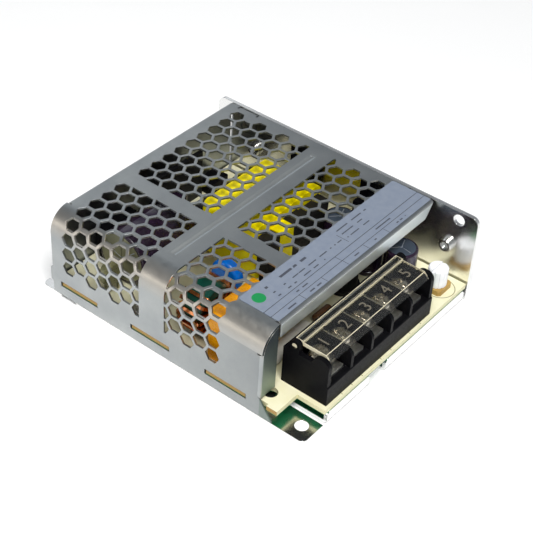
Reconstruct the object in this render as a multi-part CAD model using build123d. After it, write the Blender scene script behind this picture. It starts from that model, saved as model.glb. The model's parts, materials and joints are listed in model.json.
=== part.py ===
from build123d import *
import math
import os

# All sizes are in millimetres. Places are counted from the case's front left bottom corner:
# X to the right, Y to the rear, Z up. Each finished piece is then shifted so that
# the origin is the middle of the footprint.

# Case
LENGTH = 99.0
WIDTH = 82.0
HEIGHT = 30.0
PLAY = 0.1                      # between sheet metal pieces
FIT = 0.05                      # radial, round a screw or pin
EDGE_BREAK = 0.4                # small chamfers on turned and moulded parts
BEYOND = 1.0                    # how far a cut runs past the face it leaves

# Base chassis, aluminium sheet
BASE_SHEET = 1.2
BASE_BEND = 2.0                 # outside radius
WALL_CORNER = 2.5
LIP_TOP = 4.7                   # the board rests on the lips
LIP_START = 10.6
LIP_GAP = (30.5, 38.3)          # from the left edge
LIP_GAP_DEPTH = 2.0
LIP_CORNER = 1.6
LIP_RELIEF = 1.4                # between lip and right wall
EAR_SLOT_WIDTH = 1.7
EAR_SLOT_DEPTH = 12.0
EAR_CORNER = 1.8
EAR_HOLE = (4.9, 4.3)
EAR_HOLE_RADIUS = 2.0
REAR_SLOT_REACH = 2.2           # centre of the open slot, from the rear edge
EDGE_NOTCH = (14.0, 8.0)        # left edge of the floor, from the rear
EDGE_NOTCH_DEPTH = 1.5
WALL_HOLE = (6.4, 27.0)         # from the front, height
WALL_HOLE_RADIUS = 1.9
BOSS_PLACE = (9.1, 13.0)        # from the front, below the top
BOSS_REAR = 15.9                # rear bush, from the case's rear
BOSS_RADIUS = 2.35
BOSS_REACH = 1.7                # inside the wall
BOSS_SHANK_RADIUS = 2.1
BOSS_THREAD_RADIUS = 1.25

# Cover, zinc coated steel sheet
COVER_SHEET = 0.6
COVER_FRONT = 15.4              # front face, from the case's front
COVER_REAR = 5.0                # rear face, from the case's rear
ROOF_BEND = 7.0                 # outside radius between roof and left wall
EDGE_BEND = 1.0                 # outside radius of the folds along the roof
RETURN_BEND = 1.0               # outside radius at the left wall's front edge
FRONT_FLANGE_DEPTH = 5.0
FRONT_FLANGE_START = 7.5
FRONT_FLANGE_TAPER = (4.6, 3.4)
ROOF_SIDE_GAP = 0.5             # between flange end and roof edge
RELIEF = 0.5                    # width of the relief cuts
RELIEF_DEPTH = 1.7
RETURN_WIDTH = 6.7
RETURN_BOTTOM = 7.4
RETURN_FREE = HEIGHT - ROOF_BEND  # above this height the return is cut free of the wall
TOE_REACH = 4.3                 # foot of the left wall, ahead of the cover's front
TOE_HEIGHT = 7.3
SLOT_START = 20.1               # board slots in the left wall
SLOT_LENGTH = 14.9
SLOT_COUNT = 3
SLOT_REAR = 3.1                 # last slot's end, from the cover's rear face
REAR_LUG = (5.0, 10.3)
REAR_LUG_REACH = 0.9
SIDE_TAB_WIDTH = 7.0
SIDE_TAB_DROP = 8.6
SIDE_TAB_CORNER = 2.4
SIDE_TAB_INSET = (1.2, 4.0)     # from the cover's front and rear faces
BEAD_AT = 55.8
BEAD_SPAN = (10.0, 74.0)
BEAD_WIDTH = 1.6
BEAD_DEPTH = 0.35

# Grille of hexagonal holes, laid out on the sheet before it is bent
HOLE_PITCH = 5.26
HOLE_WEB = 0.86
HOLE_START = (6.65, 11.9)       # first hole's centre, from the right and rear edges
HOLE_FOREMOST = 32.0            # no hole centre ahead of this
HOLE_LOWEST = 12.5              # lowest hole centre on the left wall
BAND_ACROSS = (50.1, 59.5)      # solid band from left to right
BAND_ALONG = (25.3, 30.6)       # solid band from front to rear
SMALLEST_HOLE = 0.8             # square millimetres
PUNCH_PAST = 0.3                # share of the sheet that a punch goes past each face

# Rating label
LABEL_DEPTH = 14.2
LABEL_INSET = 0.6               # behind the cover's front face
LABEL_THICKNESS = 0.15

# Printed circuit board
BOARD_THICKNESS = 1.6
BOARD_FRONT = 0.2
BOARD_LEFT = 1.2
BOARD_RIGHT_GAP = 0.6
BOARD_REAR_GAP = 0.5
BOARD_TAB_RECESS = 0.3
BOARD_TAB_SLACK = 0.4
BOARD_NOTCH = (9.3, 9.6)
BOARD_SHOULDER = 13.2
BOARD_HOLE = (5.2, 15.6)
BOARD_HOLE_RADIUS = 2.1

# Insulation sheet and board fixings
INSULATION = 0.4
INSULATION_MARGIN = 2.0
INSULATION_FRONT = 17.0
INSULATION_HOLE_RADIUS = 3.5
STANDOFF_ACROSS_FLATS = 5.0
STANDOFF_SHANK_RADIUS = 2.0
STANDOFF_PLACES = (5.6, 35.0, 9.5, 27.0, 36.0, 11.0)  # from the left or right side, from the rear
SCREW_RADIUS = 1.45             # M3 thread
SCREW_REACH = 2.4               # of a board screw below the board
PAN_HEAD = (2.75, 1.9)          # radius, height
HEAD_ROUND = 0.4                # share of a pan head's height
FLAT_HEAD = (2.55, 1.08)        # radius, depth
SIDE_SCREW_REACH = 1.5          # past the side tab
DRIVE = (0.8, 3.2, 0.9)         # cross recess: arm width, span, depth

# Terminal block
POLES = 5
BLOCK_LEFT = 10.8
BLOCK_RIGHT_GAP = 20.5          # to the case's right side
BLOCK_FRONT = 1.0
BLOCK_REAR = 16.5
CHEEK = 1.55
POLE_PITCH = (WIDTH - BLOCK_LEFT - BLOCK_RIGHT_GAP - 2 * CHEEK - PLAY) / POLES
PARTITION = 1.2
BLOCK_FLOOR = 12.9              # height of the contact floor
BLOCK_TOP = 19.0
BLOCK_EDGE = 0.5
CHEEK_SETBACK = 0.3
PARTITION_SETBACK = 0.2
SCREW_WELL = 4.2                # depth below the contact floor
BACK_WALL = 2.6
CHEEK_HUMP = (6.8, 21.5)        # how far back, height
CHEEK_ROUND = 2.4
PARTITION_ROUND = 2.2
POST_WIDTH = 3.2
HINGE_AT = (12.9, 21.2)         # from the front, height
HINGE_PIN_RADIUS = 0.8
HINGE_BARREL_RADIUS = 1.0
CONTACT = (POLE_PITCH - 2.3, 3.0, 12.6)  # width, front, rear
CONTACT_SHEET = 0.8
CONTACT_CORNER = 0.6
CONTACT_TAIL = (1.0, 0.8, 1.3)  # width, thickness, reach under the board
TAIL_HOLE_RADIUS = 0.75
TERMINAL_SCREW_AT = 9.0
TERMINAL_SCREW_RADIUS = 1.5
TERMINAL_SCREW_LENGTH = 6.2
TERMINAL_HEAD = (3.0, 2.1)
TERMINAL_DRIVE = (1.0, 4.0, 1.0)
TERMINAL_SLOT = (0.9, 0.8)      # width, depth
CLAMP = (POLE_PITCH - 2.5, 6.2, 1.1)  # width, depth, thickness
CLAMP_CORNER = 0.7
CLAMP_EDGE = 0.25
CLAMP_GAP = 0.1                 # above the contact at rest

# Clear terminal cover
FLAP_CLEARANCE = 0.25           # to each cheek
FLAP_THICKNESS = 1.0
FLAP_TOP = 22.0
FLAP_FRONT = 2.0
FLAP_SLOPE = 1.8                # both back and down, so the front slopes at 45 degrees
FLAP_STRIP = (1.5, 0.4)         # raised strip ahead of the hinge, its height
FLAP_REAR = 1.0                 # behind the hinge axis
FLAP_RIB = (0.8, 1.0)

# Trimmer and lamp
TRIMMER_PLACE = (9.0, 6.4)      # from the right, from the front
TRIMMER_BASE = (7.0, 1.7)
TRIMMER_CORNER = 0.8
TRIMMER_SHAFT = (1.2, 4.0)
KNOB_RADIUS = 3.1
KNOB_HEIGHT = 6.1
KNOB_GAP = 0.1
KNOB_ROOF = 0.9
KNOB_SLOT = (0.9, 0.7)
KNOB_FLUTES = 14
KNOB_FLUTE_RADIUS = 0.2
LAMP_PLACE = (15.1, 7.0)        # from the right, from the front
LAMP_RADIUS = 1.5
LAMP_FLANGE = (1.9, 0.9)
LAMP_RAISE = 1.9
LAMP_LENGTH = 5.3
LEAD = 0.5
LEAD_SPACING = 1.27

# Parts on the board that are placed from the right and the front
OUTPUT_CAP_PLACE = (15.2, 16.3)
OUTPUT_CAP = (5.0, 13.7)        # radius, height
OUTPUT_CAP_SPACING = 11.2
OUTPUT_CAP_COUNT = 3
CAN_GROOVE = 0.4
CAN_GROOVE_AT = 0.45            # share of the can's radius, up from its base
CAN_SCORE = (1.1, 0.3, 0.2)     # length as a share of the radius, width, depth
CAN_ROLL = 0.7
INDUCTOR_PLACE = (27.5, 27.5)
INDUCTOR = (5.0, 10.0)
INDUCTOR_WAIST = (3.6, 1.6)
FUSE_PLACE = (62.0, 22.5)
FUSE = (2.6, 20.0)
FUSE_CAP = 5.0
FUSE_STEP = 0.2                 # from cap to barrel
RESISTOR_PLACES = ((43.0, 23.5), (43.0, 28.0), (43.0, 32.5))
RESISTOR = (1.5, 7.0)

# Parts on the board that are placed from the left and the front
X_CAP_AT = (4.4, 28.8)          # front left corner
X_CAP = (19.5, 9.3, 17.0)
X_CAP_EDGE = 0.8
MOULD_EDGE = 0.3
VARISTOR_AT = (29.5, 30.2)
VARISTOR = (4.5, 3.4)
Y_CAP_AT = (25.5, 48.5)
Y_CAP = (5.2, 3.6)
Y_CAP_RAISE = 5.5
DISC_RAISE = 3.4                # disc's lower edge above the board
DISC_ROUND = 0.35               # share of the disc's thickness
DISC_LEGS = 0.6                 # share of the disc's radius, each side of its middle
COUPLER_AT = (40.0, 36.5)
COUPLER = (4.6, 6.4, 3.6)
CHOKE_AT = (13.2, 45.6)
CHOKE_RING = (7.6, 4.2, 7.0)    # outer radius, inner radius, thickness
CHOKE_TURNS = 7
CHOKE_STEP = 18                 # degrees from turn to turn
CHOKE_WIRE = 1.0
CHOKE_RAISE = 1.5
CHOKE_FOOT = (8.0, 5.0)
CORE_AT = (39.0, 44.2)          # front left corner
CORE_MARGIN = (13.8, 25.8)      # from the core to the case's right side and rear
CORE_HEIGHT = 13.0
CORE_LEG = 3.6
CORE_RAISE = 3.6
WINDING_GAP = 0.6               # to the core's front and rear bars
WINDING_OVER = (0.8, 3.1)       # beside the core, above and below it
WINDING_CORNER = 2.0
BOBBIN_RAIL = (3.0, 3.2)
BOBBIN_PINS = 5
TAPE = 0.4
TAPE_START = 1.4                # from the core's left leg

# Parts on the board that are placed from the left and the rear
THERMISTOR_PLACE = (6.6, 22.5)
THERMISTOR = (4.2, 3.2)
BULK_CAP_PLACE = (12.0, 21.5)   # vented end, axis
BULK_CAP = (9.0, 22.0)          # radius, length
BRIDGE_PLACE = (16.0, 10.4)
BRIDGE = (14.5, 3.5, 10.5)
HEATSINK_PLACE = (39.5, 10.4)
HEATSINK = (21.5, 1.5, 16.8)
FILM_CAP_PLACES = ((40.0, 22.5), (49.5, 22.5), (59.0, 22.5))
FILM_CAP = (6.4, 4.0, 8.5)
FILM_CAP_EDGE = 1.2
AUX_CAP_PLACE = (45.0, 14.5)
AUX_CAP = (2.5, 11.0)
CHIP_PLACE = (62.0, 12.5)
CHIP = (9.4, 6.0, 3.4)

# Power devices on the right wall
TRANSISTOR = (10.0, 15.0, 4.4)  # wide, tall, thick
TRANSISTOR_RAISE = 4.0
TRANSISTOR_TAB = (1.3, 6.0)     # thickness, bare height
LEG_PITCH = 2.54
TRANSISTOR_PLACES = {"output_diode": 31.0, "power_transistor": 58.0}

# Places that follow from the sizes above
BOARD_BOTTOM = LIP_TOP
BOARD_TOP = LIP_TOP + BOARD_THICKNESS
WALL_INSIDE = WIDTH - BASE_SHEET
ROOF_RIGHT = WALL_INSIDE - PLAY
ROOF_UNDER = HEIGHT - COVER_SHEET
COVER_BACK = LENGTH - COVER_REAR
BEND_Z = HEIGHT - ROOF_BEND
SLOT_SPACING = (COVER_BACK - SLOT_REAR - SLOT_LENGTH - SLOT_START) / (SLOT_COUNT - 1)
BLOCK_WIDTH = POLES * POLE_PITCH + 2 * CHEEK + PLAY
BLOCK_RIGHT = BLOCK_LEFT + BLOCK_WIDTH
BAY_START = BLOCK_LEFT + (BLOCK_WIDTH - POLES * POLE_PITCH) / 2
CONTACT_TOP = BLOCK_FLOOR + CONTACT_SHEET
CLAMP_BOTTOM = CONTACT_TOP + CLAMP_GAP
HEAD_BOTTOM = CLAMP_BOTTOM + CLAMP[2]
BOSS_HEIGHT = HEIGHT - BOSS_PLACE[1]
STANDOFFS = ((STANDOFF_PLACES[0], LENGTH - STANDOFF_PLACES[1]),
             (WIDTH - STANDOFF_PLACES[2], LENGTH - STANDOFF_PLACES[3]),
             (STANDOFF_PLACES[4], LENGTH - STANDOFF_PLACES[5]))
TRIMMER_AT = (WIDTH - TRIMMER_PLACE[0], TRIMMER_PLACE[1])
CORE = (WIDTH - CORE_AT[0] - CORE_MARGIN[0], LENGTH - CORE_AT[1] - CORE_MARGIN[1], CORE_HEIGHT)
TO_FRAME = Pos(-WIDTH / 2, -LENGTH / 2, 0)


# Helpers

def block(x0, x1, y0, y1, z0, z1):
    """Square-edged block between two corners."""
    return Pos(x0, y0, z0) * Box(x1 - x0, y1 - y0, z1 - z0, align=(Align.MIN, Align.MIN, Align.MIN))


def post(x, y, z0, z1, radius):
    """Upright round bar."""
    return Pos(x, y, z0) * Cylinder(radius, z1 - z0, align=(Align.CENTER, Align.CENTER, Align.MIN))


def cross_bar(x0, x1, y, z, radius):
    """Round bar lying from left to right."""
    bar = Cylinder(radius, x1 - x0, align=(Align.CENTER, Align.CENTER, Align.MIN))
    return Pos(x0, y, z) * Rot(0, 90, 0) * bar


def along_x(face, x0, x1):
    """Extrude an outline drawn in Y and Z from x0 to x1."""
    plane = Plane(origin=(x0, 0, 0), x_dir=(0, 1, 0), z_dir=(1, 0, 0))
    return extrude(plane * face, amount=x1 - x0, dir=(1, 0, 0))


def along_y(face, y0, y1):
    """Extrude an outline drawn in X and Z from y0 to y1."""
    plane = Plane(origin=(0, y0, 0), x_dir=(1, 0, 0), z_dir=(0, -1, 0))
    return extrude(plane * face, amount=y1 - y0, dir=(0, 1, 0))


def along_z(face, z0, z1):
    """Extrude an outline drawn in X and Y from z0 to z1."""
    return extrude(Pos(0, 0, z0) * face, amount=z1 - z0, dir=(0, 0, 1))


def rect(u0, u1, v0, v1):
    """Rectangle between two corners, in an outline's own plane."""
    return Pos((u0 + u1) / 2, (v0 + v1) / 2) * Rectangle(u1 - u0, v1 - v0)


def edges_at(part, axis, **place):
    """Edges parallel to an axis whose middle lies at the given coordinates."""
    found = part.edges().filter_by(axis)
    for name, value in place.items():
        found = found.filter_by(lambda e: abs(getattr(e.center(), name.upper()) - value) < 0.01)
    return found


def drive(x, y, top, size):
    """Cross recess in a screw head."""
    width, span, depth = size
    arm = block(x - span / 2, x + span / 2, y - width / 2, y + width / 2, top - depth, top + 1)
    other = block(x - width / 2, x + width / 2, y - span / 2, y + span / 2, top - depth, top + 1)
    return arm + other


def from_right(place):
    """Place given from the case's right side and front."""
    return WIDTH - place[0], place[1]


def from_rear(place):
    """Place given from the case's left side and rear."""
    return place[0], LENGTH - place[1]


def save(name, shape):
    """Shift a node's solids into the part's own frame and write them."""
    shapes = shape if isinstance(shape, list) else [shape]
    solids = [TO_FRAME * solid for each in shapes for solid in each.solids()]
    export_step(solids[0] if len(solids) == 1 else Compound(solids), f"parts/{name}.step")


# Base chassis

def floor_outline():
    """Flat outline of the floor, with its ears, notches and slots."""
    outline = rect(0, WIDTH, 0, LENGTH)
    corners = [v for v in outline.vertices() if v.X < 1]
    outline = fillet(corners, EAR_CORNER)
    ear_slot = rect(LIP_START - EAR_SLOT_WIDTH, LIP_START, -1, EAR_SLOT_DEPTH)
    ear_hole = Pos(*EAR_HOLE) * Circle(EAR_HOLE_RADIUS)
    rear_centre = LENGTH - REAR_SLOT_REACH
    rear_slot = Pos(EAR_HOLE[0], rear_centre) * Circle(EAR_HOLE_RADIUS)
    rear_slot += rect(EAR_HOLE[0] - EAR_HOLE_RADIUS, EAR_HOLE[0] + EAR_HOLE_RADIUS, rear_centre, LENGTH + 1)
    notch = rect(-1, EDGE_NOTCH_DEPTH, LENGTH - EDGE_NOTCH[0], LENGTH - EDGE_NOTCH[1])
    lip_gap = rect(*LIP_GAP, -1, LIP_GAP_DEPTH)
    wall_relief = rect(WALL_INSIDE - LIP_RELIEF, WALL_INSIDE, -1, LIP_GAP_DEPTH)
    return outline - [ear_slot, ear_hole, rear_slot, notch, lip_gap, wall_relief]


def front_lip(x0, x1):
    """One upright lip that the board's front edge rests on."""
    outline = rect(x0, x1, 0, LIP_TOP)
    outline = fillet([v for v in outline.vertices() if v.Y > 1], LIP_CORNER)
    return along_y(outline, 0, BASE_SHEET)


def base_chassis():
    """Floor, right wall and front lips, folded from one sheet."""
    wall_outline = rect(0, LENGTH, 0, HEIGHT)
    wall_outline = fillet([v for v in wall_outline.vertices() if v.Y > 1], WALL_CORNER)
    base = along_z(floor_outline(), 0, BASE_SHEET) + along_x(wall_outline, WALL_INSIDE, WIDTH)
    base += front_lip(LIP_START, LIP_GAP[0])
    base += front_lip(LIP_GAP[1], WALL_INSIDE - LIP_RELIEF)
    base = fillet(edges_at(base, Axis.Y, x=WIDTH, z=0), BASE_BEND)
    base = fillet(edges_at(base, Axis.X, y=0, z=0).filter_by(lambda e: e.length > EAR_CORNER * 5), BASE_BEND)
    holes = [cross_bar(WALL_INSIDE - 1, WIDTH + 1, *WALL_HOLE, WALL_HOLE_RADIUS)]
    for y in boss_places():
        holes.append(cross_bar(WALL_INSIDE - 1, WIDTH + 1, y, BOSS_HEIGHT, BOSS_SHANK_RADIUS + FIT))
    for y in side_tab_places():
        holes.append(flat_screw(y, FIT))
    for x, y in STANDOFFS:
        holes.append(post(x, y, -1, BASE_SHEET + 1, STANDOFF_SHANK_RADIUS + FIT))
    return base - holes


def boss_places():
    """Distances of the threaded bushes from the case's front."""
    return [BOSS_PLACE[0], LENGTH - BOSS_REAR]


def side_boss(y):
    """Threaded bush pressed into the right wall."""
    height = BOSS_HEIGHT
    bush = cross_bar(WALL_INSIDE - BOSS_REACH, WALL_INSIDE, y, height, BOSS_RADIUS)
    bush = chamfer(bush.edges().group_by(Axis.X)[0], EDGE_BREAK)
    bush += cross_bar(WALL_INSIDE, WIDTH, y, height, BOSS_SHANK_RADIUS)
    return bush - cross_bar(WALL_INSIDE - BOSS_REACH - 1, WIDTH + 1, y, height, BOSS_THREAD_RADIUS)


# Cover

def cover_profile():
    """Roof, roll bend and left wall in one strip, seen from the front."""
    foot = BASE_SHEET + PLAY
    strip = rect(0, ROOF_RIGHT, foot, HEIGHT)
    strip = fillet([v for v in strip.vertices() if v.X < 1 and v.Y > foot + 1], ROOF_BEND)
    hollow = rect(COVER_SHEET, ROOF_RIGHT + 1, foot - 1, ROOF_UNDER)
    inside = [v for v in hollow.vertices() if v.X < COVER_SHEET + 1 and v.Y > foot + 1]
    return strip - fillet(inside, ROOF_BEND - COVER_SHEET)


def end_plate_outline(x0, x1, z0):
    """Plate that closes an end under the roof and clears the roll bend."""
    plate = rect(x0, x1, z0, ROOF_UNDER - RELIEF)
    corner = [v for v in plate.vertices() if v.X < x0 + 1 and v.Y > z0 + 1]
    return fillet(corner, ROOF_BEND - COVER_SHEET - RELIEF)


def return_flange():
    """Flange folded in from the left wall's front edge."""
    free_left = COVER_SHEET + RELIEF
    outline = end_plate_outline(free_left, free_left + ROOF_BEND * 2, RETURN_BOTTOM)
    outline &= rect(free_left, RETURN_WIDTH, RETURN_BOTTOM, HEIGHT)
    outline += rect(0, RETURN_WIDTH, RETURN_BOTTOM, RETURN_FREE)
    return along_y(outline, COVER_FRONT, COVER_FRONT + COVER_SHEET)


def front_flange():
    """Flange folded down from the roof's front edge, cut back at its right end."""
    right = ROOF_RIGHT - ROOF_SIDE_GAP
    bottom = HEIGHT - FRONT_FLANGE_DEPTH
    outline = rect(FRONT_FLANGE_START, right, bottom, HEIGHT)
    across, up = FRONT_FLANGE_TAPER
    corner = [v for v in outline.vertices() if v.X > right - 1 and v.Y < bottom + 1]
    outline = chamfer(corner, up, length2=across)
    return along_y(outline, COVER_FRONT, COVER_FRONT + COVER_SHEET)


def rear_wall():
    """Wall folded down from the roof's rear edge to just above the floor."""
    left = COVER_SHEET + RELIEF
    right = ROOF_RIGHT - ROOF_SIDE_GAP
    outline = end_plate_outline(left, right, BASE_SHEET + RELIEF)
    outline += rect(FRONT_FLANGE_START, right, ROOF_UNDER - 2, HEIGHT)
    return along_y(outline, COVER_BACK - COVER_SHEET, COVER_BACK)


def wall_toe():
    """Foot of the left wall that reaches ahead of the cover's front face."""
    foot = BASE_SHEET + PLAY
    toe = Polygon((COVER_FRONT - TOE_REACH, foot), (COVER_FRONT + 1, foot), (COVER_FRONT + 1, TOE_HEIGHT),
                  (COVER_FRONT, TOE_HEIGHT), align=None)
    return along_x(toe, 0, COVER_SHEET)


def side_tab_places():
    """Distances of the side tabs' screws from the case's front."""
    front, rear = SIDE_TAB_INSET
    half = SIDE_TAB_WIDTH / 2
    return [COVER_FRONT + COVER_SHEET + front + half, COVER_BACK - COVER_SHEET - rear - half]


def side_tab(y):
    """Tab folded down inside the right wall; a screw through the wall holds it."""
    half = SIDE_TAB_WIDTH / 2
    outline = rect(y - half, y + half, HEIGHT - SIDE_TAB_DROP, HEIGHT)
    outline = fillet([v for v in outline.vertices() if v.Y < HEIGHT - 1], SIDE_TAB_CORNER)
    return along_x(outline, ROOF_RIGHT - COVER_SHEET, ROOF_RIGHT)


def relief_cuts():
    """Small cuts beside each fold, so that the sheet can bend there."""
    flange_right = ROOF_RIGHT - ROOF_SIDE_GAP
    front = (COVER_FRONT - 1, COVER_FRONT + RELIEF_DEPTH)
    rear = (COVER_BACK - RELIEF_DEPTH, COVER_BACK + 1)
    cuts = [block(0 - 1, COVER_SHEET + RELIEF, *front, RETURN_FREE, RETURN_FREE + RELIEF)]
    roof = (ROOF_UNDER - 1, HEIGHT + 1)
    for y0, y1 in (front, rear):
        cuts.append(block(FRONT_FLANGE_START - RELIEF, FRONT_FLANGE_START, y0, y1, *roof))
        cuts.append(block(flange_right, ROOF_RIGHT + 1, y0, y1, *roof))
    for y in side_tab_places():
        for side in (-SIDE_TAB_WIDTH / 2 - RELIEF, SIDE_TAB_WIDTH / 2):
            cuts.append(block(ROOF_RIGHT - RELIEF_DEPTH, ROOF_RIGHT + 1, y + side, y + side + RELIEF, *roof))
    return cuts


def bead(radius):
    """Round bar whose underside is the pressed bead in the roof."""
    across = BEAD_WIDTH / 2
    bead_radius = (across ** 2 + BEAD_DEPTH ** 2) / (2 * BEAD_DEPTH)
    return cross_bar(*BEAD_SPAN, BEAD_AT, HEIGHT - BEAD_DEPTH + bead_radius, bead_radius + radius)


def cover():
    """Roof, left wall, flanges and grille, folded from one sheet."""
    shell = along_y(cover_profile(), COVER_FRONT, COVER_BACK)
    shell += [return_flange(), front_flange(), rear_wall(), wall_toe()]
    shell += [side_tab(y) for y in side_tab_places()]
    lug = block(0, COVER_SHEET, COVER_BACK - 1, COVER_BACK + REAR_LUG_REACH, *REAR_LUG)
    shell += chamfer(edges_at(lug, Axis.X, y=COVER_BACK + REAR_LUG_REACH), REAR_LUG_REACH / 2)
    shell -= relief_cuts()
    shell = fillet(roof_folds(shell), EDGE_BEND)
    shell = fillet(return_fold(shell), RETURN_BEND)
    below_roof = block(*BEAD_SPAN, BEAD_AT - ROOF_BEND, BEAD_AT + ROOF_BEND, BEND_Z, ROOF_UNDER)
    shell += bead(COVER_SHEET) & below_roof
    shell -= bead(0)
    shell -= board_slots()
    shell -= [cross_bar(ROOF_RIGHT - COVER_SHEET - 1, WALL_INSIDE, y, side_screw_height(), SCREW_RADIUS + FIT)
              for y in side_tab_places()]
    return shell - [punch(outline, middle) for outline, middle in grille_holes()]


def roof_folds(shell):
    """Outer edges of the folds along the roof, each between two relief cuts."""
    found = edges_at(shell, Axis.X, y=COVER_FRONT, z=HEIGHT)
    found += edges_at(shell, Axis.X, y=COVER_BACK, z=HEIGHT)
    for y in side_tab_places():
        found += edges_at(shell, Axis.Y, x=ROOF_RIGHT, z=HEIGHT, y=y)
    return found


def return_fold(shell):
    """Outer edge of the left wall's front fold."""
    return edges_at(shell, Axis.Z, x=0, y=COVER_FRONT).filter_by(lambda e: e.center().Z < RETURN_FREE)


def board_slots():
    """Slots in the left wall for the board's tabs."""
    cuts = []
    for number in range(SLOT_COUNT):
        y0 = SLOT_START + number * SLOT_SPACING
        cuts.append(block(-1, COVER_SHEET + 1, y0, y0 + SLOT_LENGTH, BOARD_BOTTOM - PLAY, BOARD_TOP + PLAY))
    return cuts


# Grille

def clip(outline, axis, limit, side):
    """Part of a convex outline on one side of a line; side is 1 above the limit, -1 below."""
    kept = []
    for here, after in zip(outline, outline[1:] + outline[:1]):
        a = side * (here[axis] - limit)
        b = side * (after[axis] - limit)
        if a >= 0:
            kept.append(here)
        if a * b < 0:
            share = a / (a - b)
            kept.append(tuple(p + share * (q - p) for p, q in zip(here, after)))
    return kept


def area(outline):
    """Area of a flat outline."""
    pairs = zip(outline, outline[1:] + outline[:1])
    return abs(sum(p[0] * q[1] - q[0] * p[1] for p, q in pairs)) / 2


def hexagon(u, v):
    """Hexagon with a corner to the front and rear."""
    reach = (HOLE_PITCH - HOLE_WEB) / math.sqrt(3)
    turns = [math.radians(30 + 60 * k) for k in range(6)]
    return [(u + reach * math.cos(t), v + reach * math.sin(t)) for t in turns]


def lattice():
    """Hole centres on the unfolded sheet: u counts as X on the roof and runs on round the bend."""
    first = (WIDTH - HOLE_START[0], LENGTH - HOLE_START[1])
    wall_top = ROOF_BEND - ROOF_BEND * math.pi / 2
    last = wall_top - (BEND_Z - HOLE_LOWEST)
    row_pitch = HOLE_PITCH * math.sqrt(3) / 2
    rows = int((first[1] - HOLE_FOREMOST) / row_pitch) + 1
    for row in range(rows):
        u = first[0] - (HOLE_PITCH / 2 if row % 2 else 0)
        while u > last:
            yield u, first[1] - row * row_pitch
            u -= HOLE_PITCH


def grille_holes():
    """Every hole with its middle, cut straight where it meets a solid band."""
    for u, v in lattice():
        for front_side in (-1, 1):
            for left_side in (-1, 1):
                outline = clip(hexagon(u, v), 1, BAND_ACROSS[0 if front_side < 0 else 1], front_side)
                outline = clip(outline, 0, BAND_ALONG[0 if left_side < 0 else 1], left_side)
                if area(outline) > SMALLEST_HOLE:
                    yield outline, (u, v)


def punch(outline, middle):
    """Tool for one hole, square to the sheet at the hole's middle."""
    depths = (COVER_SHEET * (1 + PUNCH_PAST), -COVER_SHEET * PUNCH_PAST)
    wall_top = ROOF_BEND - ROOF_BEND * math.pi / 2
    points = []
    for u, v in outline:
        for depth in depths:
            if middle[0] >= ROOF_BEND:
                points.append((u, v, HEIGHT - depth))
            elif middle[0] <= wall_top:
                points.append((depth, v, BEND_Z + u - wall_top))
            else:
                turn = (ROOF_BEND - middle[0]) / ROOF_BEND
                shrink = (ROOF_BEND - depth) / ROOF_BEND
                out = ROOF_BEND - depth
                side = (u - middle[0]) * shrink
                points.append((ROOF_BEND - out * math.sin(turn) + side * math.cos(turn),
                               middle[1] + (v - middle[1]) * shrink,
                               BEND_Z + out * math.cos(turn) + side * math.sin(turn)))
    return ConvexPolyhedron(points)


# Sheet parts laid on the case

def rating_label():
    """Thin plate along the front of the roof."""
    front = COVER_FRONT + EDGE_BEND + LABEL_INSET - COVER_SHEET
    rear = COVER_FRONT + LABEL_DEPTH + LABEL_INSET
    outline = rect(FRONT_FLANGE_START, ROOF_RIGHT - ROOF_SIDE_GAP, front, rear)
    outline = fillet(outline.vertices(), LABEL_INSET)
    return along_z(outline, HEIGHT, HEIGHT + LABEL_THICKNESS)


def insulation_sheet():
    """Film between the solder side and the floor."""
    outline = rect(INSULATION_MARGIN, WALL_INSIDE - INSULATION_MARGIN, INSULATION_FRONT,
                   COVER_BACK - COVER_SHEET - INSULATION_MARGIN)
    outline -= [Pos(x, y) * Circle(INSULATION_HOLE_RADIUS) for x, y in STANDOFFS]
    return along_z(outline, BASE_SHEET, BASE_SHEET + INSULATION)


# Screws and fixings

def standoff(x, y):
    """Hexagonal threaded pillar pressed into the floor."""
    flats = Pos(x, y) * RegularPolygon(STANDOFF_ACROSS_FLATS / 2, 6, major_radius=False)
    pillar = along_z(flats, BASE_SHEET, BOARD_BOTTOM)
    pillar += post(x, y, 0, BASE_SHEET, STANDOFF_SHANK_RADIUS)
    return pillar - post(x, y, BASE_SHEET, BOARD_BOTTOM + 1, SCREW_RADIUS + FIT)


def board_screw(x, y):
    """Pan head screw through the board into a pillar."""
    radius, height = PAN_HEAD
    head = post(x, y, BOARD_TOP, BOARD_TOP + height, radius)
    head = fillet(head.edges().group_by(Axis.Z)[-1], height * HEAD_ROUND)
    screw = head + post(x, y, BOARD_BOTTOM - SCREW_REACH, BOARD_TOP, SCREW_RADIUS)
    return screw - drive(x, y, BOARD_TOP + height, DRIVE)


def side_screw_height():
    """Height of the screws that hold the cover's side tabs."""
    return HEIGHT - SIDE_TAB_DROP + SIDE_TAB_WIDTH / 2


def flat_screw(y, swell):
    """Countersunk screw body from the right wall into a side tab, grown by swell."""
    height = side_screw_height()
    radius, depth = FLAT_HEAD
    cone = Cone(radius - depth + swell, radius + swell, depth,
                align=(Align.CENTER, Align.CENTER, Align.MIN))
    screw = Pos(WIDTH - depth, y, height) * Rot(0, 90, 0) * cone
    return screw + cross_bar(ROOF_RIGHT - COVER_SHEET - SIDE_SCREW_REACH, WIDTH - depth, y, height,
                             SCREW_RADIUS + swell)


def cover_screw(y):
    """Countersunk cross-recessed screw."""
    recess = drive(0, 0, 0, DRIVE)
    return flat_screw(y, 0) - Pos(WIDTH, y, side_screw_height()) * Rot(0, 90, 0) * recess


# Board

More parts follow.
